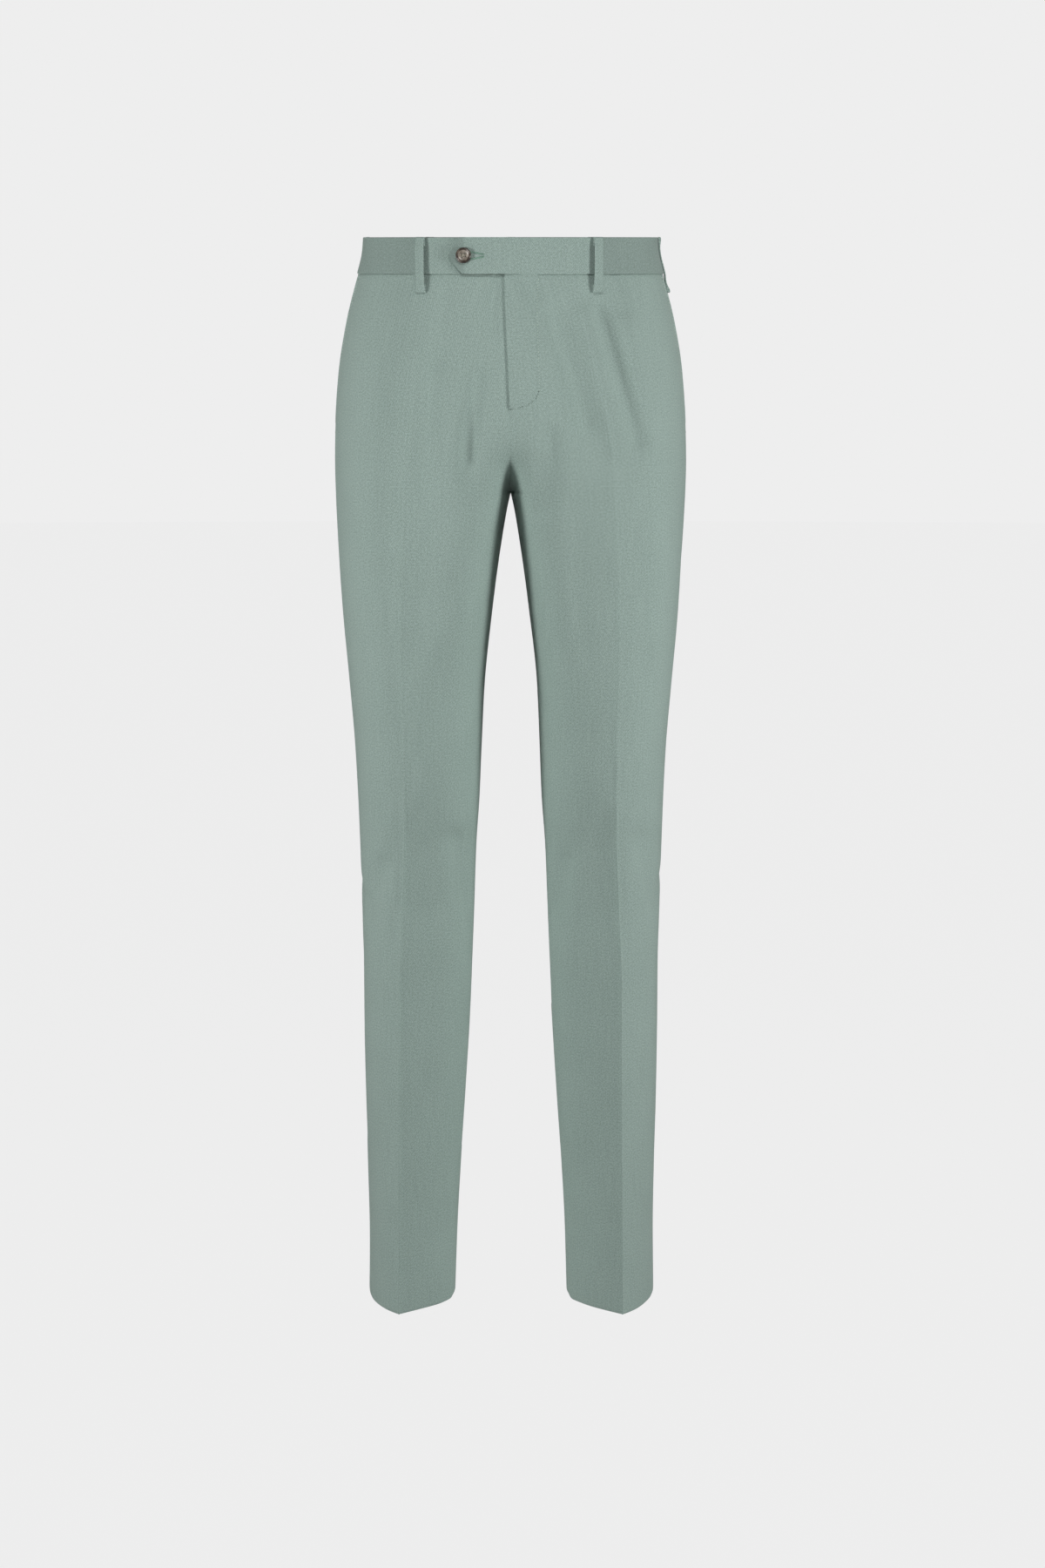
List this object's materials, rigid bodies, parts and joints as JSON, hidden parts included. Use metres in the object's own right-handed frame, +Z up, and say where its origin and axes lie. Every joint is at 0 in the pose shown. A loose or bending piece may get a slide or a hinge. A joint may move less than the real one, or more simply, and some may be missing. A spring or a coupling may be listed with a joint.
{
  "type": "tailored trousers filled out as worn",
  "caption": "Tailored full-length trousers with a straight leg, pressed creases, slanted side pockets, a fly and a buttoned waistband tab.",
  "frame": {"origin": "centre of the waist opening, level with the waistband's top edge at the sides", "axes": "+Z up, -Y to the front of the wearer, +X to the wearer's left"},
  "size_m": [0.3414, 0.2383, 1.0609],
  "materials": {
    "suiting": "fine sage green wool twill, matt",
    "pocket_facing": "the same twill, in shade",
    "fly_shield": "the same twill",
    "zip_tape": "woven tape",
    "horn": "polished dark brown horn"
  },
  "bodies": {
    "root": {"front_left": "suiting", "front_right": "suiting", "back_left": "suiting", "back_right": "suiting", "pocket_left": "pocket_facing", "pocket_right": "pocket_facing", "waistband_left": "suiting", "waistband_right": "suiting", "zip": "zip_tape", "fly_shield": "fly_shield", "button": "horn", "belt_loop_front_left": "suiting", "belt_loop_front_right": "suiting", "belt_loop_side_left": "suiting", "belt_loop_side_right": "suiting", "belt_loop_back_left": "suiting", "belt_loop_back_right": "suiting", "belt_loop_centre_back": "suiting"}
  },
  "joints": []
}
